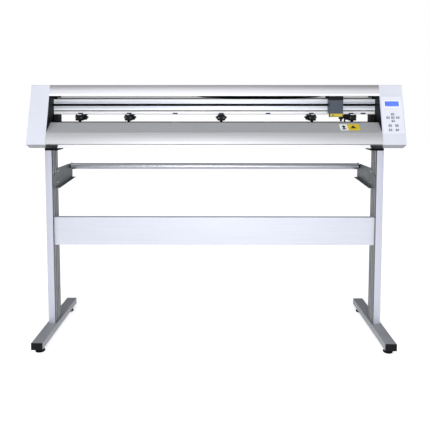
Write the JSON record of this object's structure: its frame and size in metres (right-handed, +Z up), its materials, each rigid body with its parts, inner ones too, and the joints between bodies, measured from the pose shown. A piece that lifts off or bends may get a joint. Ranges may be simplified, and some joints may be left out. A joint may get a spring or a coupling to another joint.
{
  "type": "vinyl cutter",
  "caption": "Floor-standing roll vinyl cutter: wide cutting head with sliding blade carriage, pinch rollers and control panel on a two-column stand.",
  "frame": {"origin": "on the floor, under the middle of the overall box: midway between the outer faces of the two end caps and midway along the foot bars", "axes": "+X along the head towards the control panel, +Y to the rear, +Z up"},
  "size_m": [1.62, 0.545, 1.121],
  "materials": {
    "cap_paint": "satin light grey",
    "column_silver": "matt anodised silver",
    "foot_grey": "satin grey",
    "crossbar_silver": "fine-grooved anodised silver",
    "cover_silver": "satin anodised",
    "beam_white": "satin anodised white-silver",
    "black_metal": "matt black",
    "black_plastic": "moulded black",
    "platen_grey": "matt anodised grey",
    "rubber": "matt black rubber",
    "steel": "ground steel",
    "chrome_tube": "polished tube",
    "carriage_grey": "slate blue-grey",
    "panel_film": "printed film",
    "display_blue": "back-lit blue",
    "key_grey": "moulded grey",
    "brass": "turned brass",
    "board_green": "circuit board",
    "switch_red": "moulded red"
  },
  "bodies": {
    "root": {"left_column": "column_silver", "right_column": "column_silver", "crossbar": "crossbar_silver", "left_foot_bar": "foot_grey", "right_foot_bar": "foot_grey", "foot_end_plugs": "black_plastic", "leveling_feet": "rubber", "column_brackets": "black_metal", "left_roll_bracket": "foot_grey", "right_roll_bracket": "foot_grey", "base_channel": "cover_silver", "left_end_plate": "black_metal", "right_end_plate": "black_metal", "left_end_cap": "cap_paint", "right_end_cap": "cap_paint", "top_cover": "cover_silver", "rear_cover": "cover_silver", "front_cover": "cover_silver", "platen": "platen_grey", "cutting_strip": "rubber", "main_beam": "beam_white", "drive_belt": "rubber", "carriage_motor": "black_metal", "feed_motor": "black_metal", "control_panel": "panel_film", "display_window": "display_blue", "pinch_bar": "steel", "power_inlet": "black_plastic", "ribbon_cable": "black_plastic", "circuit_board": "board_green"},
    "roll_rod": {"roll_rod": "chrome_tube"},
    "feed_shaft": {"grit_shaft": "steel"},
    "drive_pulley": {"drive_pulley": "steel"},
    "idler_pulley": {"idler_pulley": "steel"},
    "carriage": {"carriage_plate": "black_metal", "carriage_cover": "carriage_grey"},
    "tool": {"tool_slide": "black_metal", "blade_holder": "brass", "blade": "steel"},
    "clamp_knob": {"clamp_knob": "black_plastic"},
    "power_switch": {"power_switch": "switch_red"},
    "key_up": {"key_up": "key_grey"},
    "key_down": {"key_down": "key_grey"},
    "key_left": {"key_left": "key_grey"},
    "key_right": {"key_right": "key_grey"},
    "key_enter": {"key_enter": "key_grey"},
    "key_speed": {"key_speed": "key_grey"},
    "key_force": {"key_force": "key_grey"},
    "key_pause": {"key_pause": "key_grey"},
    "key_reset": {"key_reset": "key_grey"},
    "pinch_arm_1": {"pinch_arm_1": "black_plastic"},
    "pinch_roller_1": {"pinch_roller_1": "rubber"},
    "pinch_arm_2": {"pinch_arm_2": "black_plastic"},
    "pinch_roller_2": {"pinch_roller_2": "rubber"},
    "pinch_arm_3": {"pinch_arm_3": "black_plastic"},
    "pinch_roller_3": {"pinch_roller_3": "rubber"},
    "pinch_arm_4": {"pinch_arm_4": "black_plastic"},
    "pinch_roller_4": {"pinch_roller_4": "rubber"},
    "pinch_arm_5": {"pinch_arm_5": "black_plastic"},
    "pinch_roller_5": {"pinch_roller_5": "rubber"}
  },
  "joints": [
    {"name": "roll_rod_spin", "type": "hinge", "parent": "root", "child": "roll_rod", "pos_m": [0, 0.225, 0.734], "axis": [1, 0, 0], "continuous": true},
    {"name": "feed_shaft_spin", "type": "hinge", "parent": "root", "child": "feed_shaft", "pos_m": [0, -0.014, 0.948], "axis": [1, 0, 0], "continuous": true},
    {"name": "carriage_travel", "type": "slide", "parent": "root", "child": "carriage", "axis": [1, 0, 0], "range_m": [-1.222, 0.128]},
    {"name": "drive_pulley_spin", "type": "hinge", "parent": "root", "child": "drive_pulley", "pos_m": [0.742, 0.016, 1.0345], "axis": [0, 0, 1], "continuous": true},
    {"name": "idler_pulley_spin", "type": "hinge", "parent": "root", "child": "idler_pulley", "pos_m": [-0.76, 0.016, 1.0345], "axis": [0, 0, 1], "continuous": true},
    {"name": "tool_plunge", "type": "slide", "parent": "carriage", "child": "tool", "axis": [0, 0, 1], "range_m": [-0.0025, 0.0015], "stiffness_N_per_m": 2000, "springref_m": 0.0007},
    {"name": "clamp_knob_turn", "type": "hinge", "parent": "tool", "child": "clamp_knob", "pos_m": [0.561, -0.048, 0.983], "axis": [1, 0, 0], "range_deg": [-360, 0]},
    {"name": "pinch_lift_1", "type": "hinge", "parent": "root", "child": "pinch_arm_1", "pos_m": [-0.609, 0.08, 0.998], "axis": [-1, 0, 0], "range_deg": [0, 3.5], "stiffness_Nm_per_rad": 2, "springref_deg": -11.46},
    {"name": "pinch_spin_1", "type": "hinge", "parent": "pinch_arm_1", "child": "pinch_roller_1", "pos_m": [-0.609, -0.014, 0.9669], "axis": [1, 0, 0], "continuous": true},
    {"name": "pinch_lift_2", "type": "hinge", "parent": "root", "child": "pinch_arm_2", "pos_m": [-0.39, 0.08, 0.998], "axis": [-1, 0, 0], "range_deg": [0, 3.5], "stiffness_Nm_per_rad": 2, "springref_deg": -11.46},
    {"name": "pinch_spin_2", "type": "hinge", "parent": "pinch_arm_2", "child": "pinch_roller_2", "pos_m": [-0.39, -0.014, 0.9669], "axis": [1, 0, 0], "continuous": true},
    {"name": "pinch_lift_3", "type": "hinge", "parent": "root", "child": "pinch_arm_3", "pos_m": [0.023, 0.08, 0.998], "axis": [-1, 0, 0], "range_deg": [0, 3.5], "stiffness_Nm_per_rad": 2, "springref_deg": -11.46},
    {"name": "pinch_spin_3", "type": "hinge", "parent": "pinch_arm_3", "child": "pinch_roller_3", "pos_m": [0.023, -0.014, 0.9669], "axis": [1, 0, 0], "continuous": true},
    {"name": "pinch_lift_4", "type": "hinge", "parent": "root", "child": "pinch_arm_4", "pos_m": [0.427, 0.08, 0.998], "axis": [-1, 0, 0], "range_deg": [0, 3.5], "stiffness_Nm_per_rad": 2, "springref_deg": -11.46},
    {"name": "pinch_spin_4", "type": "hinge", "parent": "pinch_arm_4", "child": "pinch_roller_4", "pos_m": [0.427, -0.014, 0.9669], "axis": [1, 0, 0], "continuous": true},
    {"name": "pinch_lift_5", "type": "hinge", "parent": "root", "child": "pinch_arm_5", "pos_m": [0.605, 0.08, 0.998], "axis": [-1, 0, 0], "range_deg": [0, 3.5], "stiffness_Nm_per_rad": 2, "springref_deg": -11.46},
    {"name": "pinch_spin_5", "type": "hinge", "parent": "pinch_arm_5", "child": "pinch_roller_5", "pos_m": [0.605, -0.014, 0.9669], "axis": [1, 0, 0], "continuous": true},
    {"name": "key_up_press", "type": "slide", "parent": "root", "child": "key_up", "axis": [0, 0.9428, -0.3333], "range_m": [0, 0.0008], "stiffness_N_per_m": 300},
    {"name": "key_down_press", "type": "slide", "parent": "root", "child": "key_down", "axis": [0, 0.9428, -0.3333], "range_m": [0, 0.0008], "stiffness_N_per_m": 300},
    {"name": "key_left_press", "type": "slide", "parent": "root", "child": "key_left", "axis": [0, 0.9428, -0.3333], "range_m": [0, 0.0008], "stiffness_N_per_m": 300},
    {"name": "key_right_press", "type": "slide", "parent": "root", "child": "key_right", "axis": [0, 0.9428, -0.3333], "range_m": [0, 0.0008], "stiffness_N_per_m": 300},
    {"name": "key_enter_press", "type": "slide", "parent": "root", "child": "key_enter", "axis": [0, 0.9428, -0.3333], "range_m": [0, 0.0008], "stiffness_N_per_m": 300},
    {"name": "key_speed_press", "type": "slide", "parent": "root", "child": "key_speed", "axis": [0, 0.9428, -0.3333], "range_m": [0, 0.0008], "stiffness_N_per_m": 300},
    {"name": "key_force_press", "type": "slide", "parent": "root", "child": "key_force", "axis": [0, 0.9428, -0.3333], "range_m": [0, 0.0008], "stiffness_N_per_m": 300},
    {"name": "key_pause_press", "type": "slide", "parent": "root", "child": "key_pause", "axis": [0, 0.9428, -0.3333], "range_m": [0, 0.0008], "stiffness_N_per_m": 300},
    {"name": "key_reset_press", "type": "slide", "parent": "root", "child": "key_reset", "axis": [0, 0.9428, -0.3333], "range_m": [0, 0.0008], "stiffness_N_per_m": 300},
    {"name": "power_switch_rock", "type": "hinge", "parent": "root", "child": "power_switch", "pos_m": [0.77425, 0.117, 0.9], "axis": [1, 0, 0], "range_deg": [-8, 8]}
  ],
  "couplings": [
    {"joint": "drive_pulley_spin", "follows": "carriage_travel", "rad_per_m": 78.431},
    {"joint": "idler_pulley_spin", "follows": "carriage_travel", "rad_per_m": 78.431}
  ]
}
